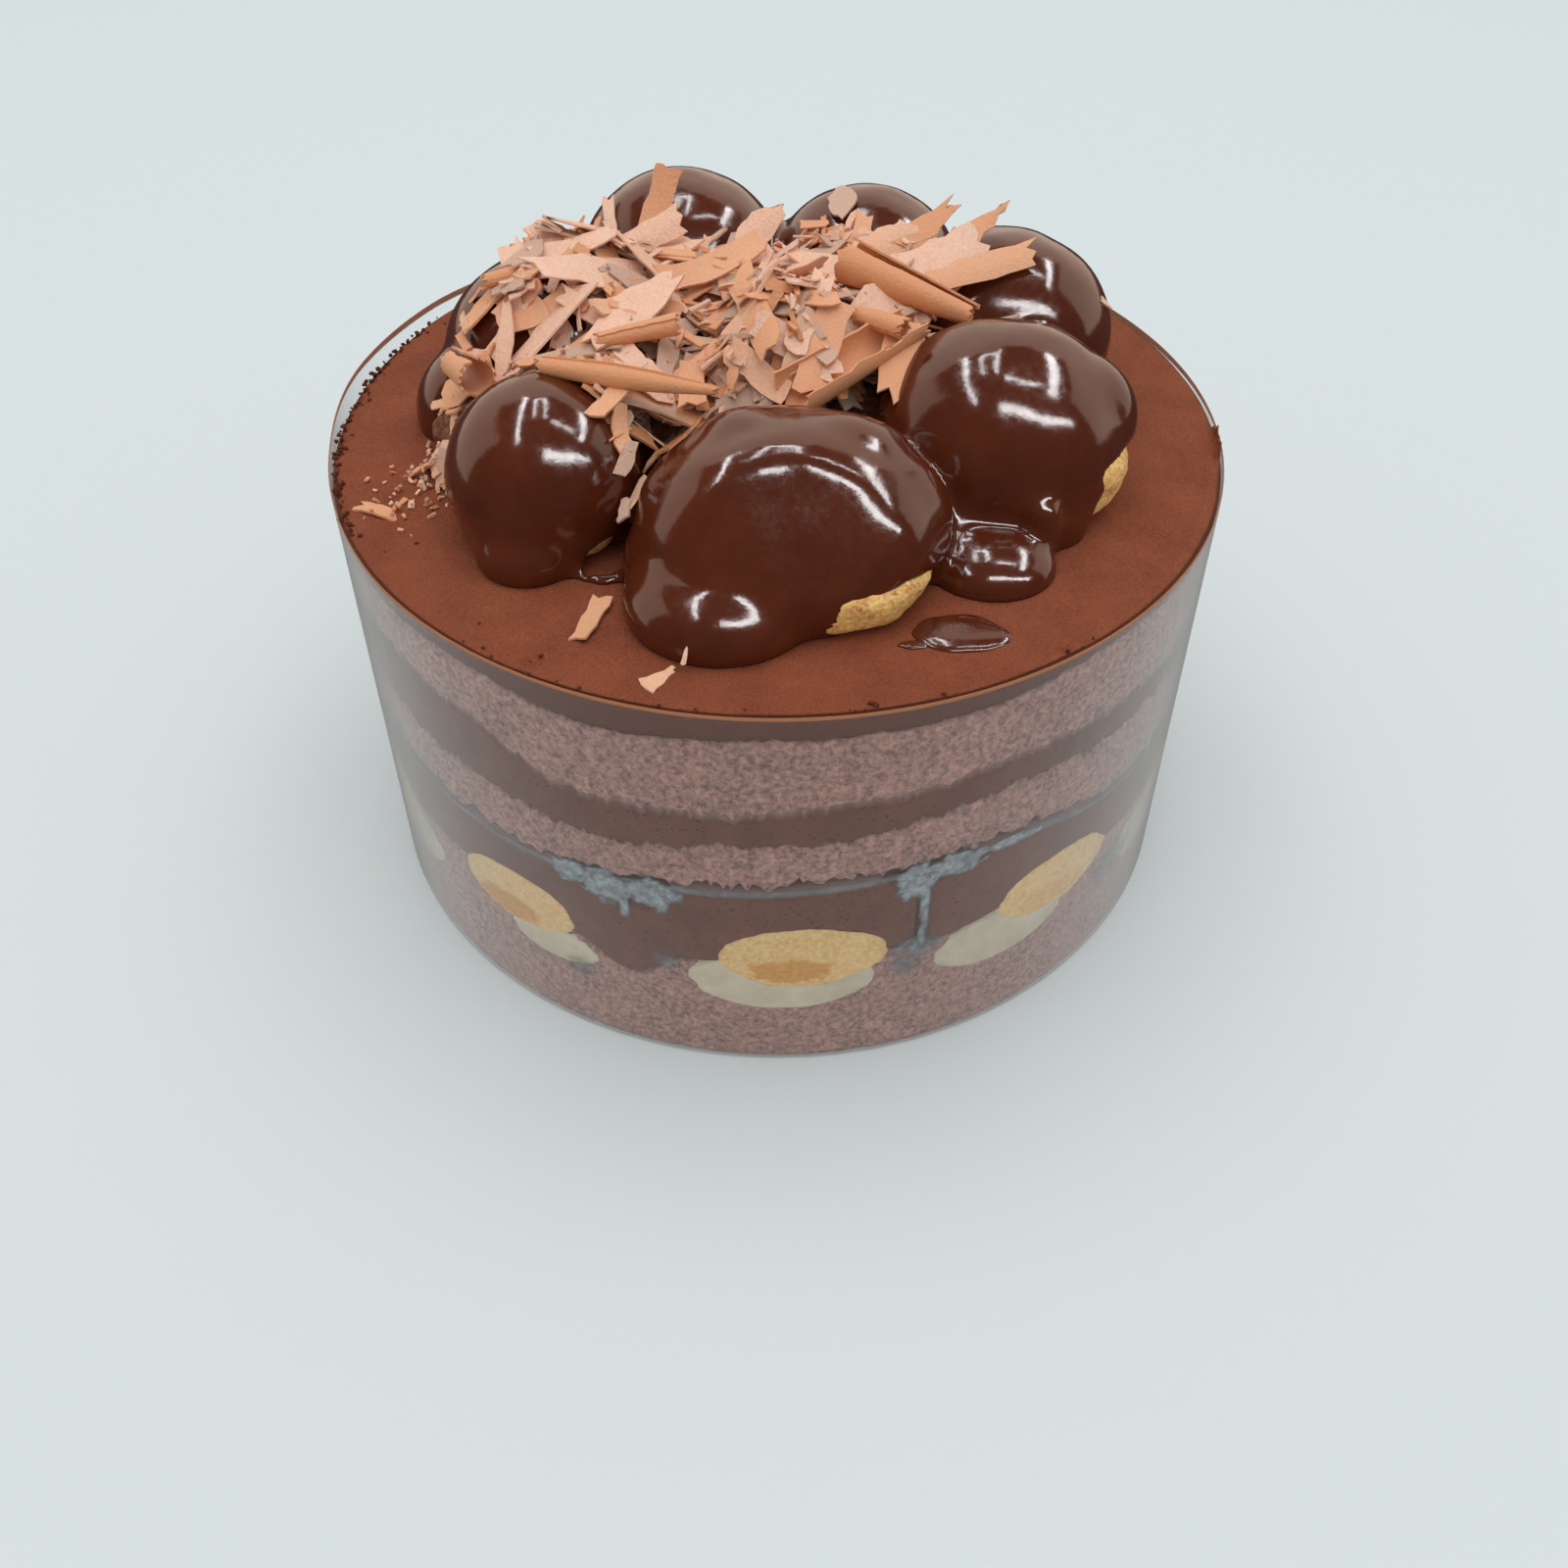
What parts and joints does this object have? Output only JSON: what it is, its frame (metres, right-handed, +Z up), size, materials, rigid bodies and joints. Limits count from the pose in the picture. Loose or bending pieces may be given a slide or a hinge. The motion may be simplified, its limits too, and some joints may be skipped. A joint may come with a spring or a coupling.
{
  "type": "profiterole cake",
  "caption": "Round mousse and sponge layer cake in a clear film collar, topped with a ring of chocolate-glazed profiteroles round a heap of shavings.",
  "frame": {"origin": "middle of the underside of the base sponge", "axes": "+Z up; the front, with the widest glazed bun, faces -Y; +X is to the right seen from the front"},
  "size_m": [0.1652, 0.1652, 0.1192],
  "materials": {
    "sponge": "open crumb, dry, greyed by the film in front of it",
    "mousse": "dense, smooth, satin where the film touches it",
    "top_mousse": "matt, very fine grain, spread flat with a spatula",
    "choux": "baked choux, golden, dry and blistered",
    "cream": "set custard cream, smooth",
    "glaze": "poured milk-chocolate glaze, mirror gloss",
    "shavings": "scraped milk chocolate, dull, waxy",
    "film": "clear acetate film, glossy"
  },
  "bodies": {
    "root": {"base_sponge": "sponge", "lower_mousse": "mousse", "middle_sponge": "sponge", "middle_mousse": "mousse", "top_sponge": "sponge", "top_mousse": "top_mousse", "sunken_choux_1": "choux", "sunken_choux_2": "choux", "sunken_choux_3": "choux", "sunken_choux_4": "choux", "sunken_choux_5": "choux", "sunken_choux_6": "choux", "sunken_choux_7": "choux", "sunken_choux_8": "choux", "sunken_choux_9": "choux", "sunken_choux_10": "choux", "sunken_cream_1": "cream", "sunken_cream_2": "cream", "sunken_cream_3": "cream", "sunken_cream_4": "cream", "sunken_cream_5": "cream", "sunken_cream_6": "cream", "sunken_cream_7": "cream", "sunken_cream_8": "cream", "sunken_cream_9": "cream", "sunken_cream_10": "cream", "choux_1": "choux", "choux_2": "choux", "choux_3": "choux", "choux_4": "choux", "choux_5": "choux", "choux_6": "choux", "choux_7": "choux", "glaze_1": "glaze", "glaze_2": "glaze", "glaze_3": "glaze", "glaze_4": "glaze", "glaze_5": "glaze", "glaze_6": "glaze", "glaze_7": "glaze", "glaze_drop": "glaze", "shavings": "shavings", "film_collar": "film"}
  },
  "joints": []
}
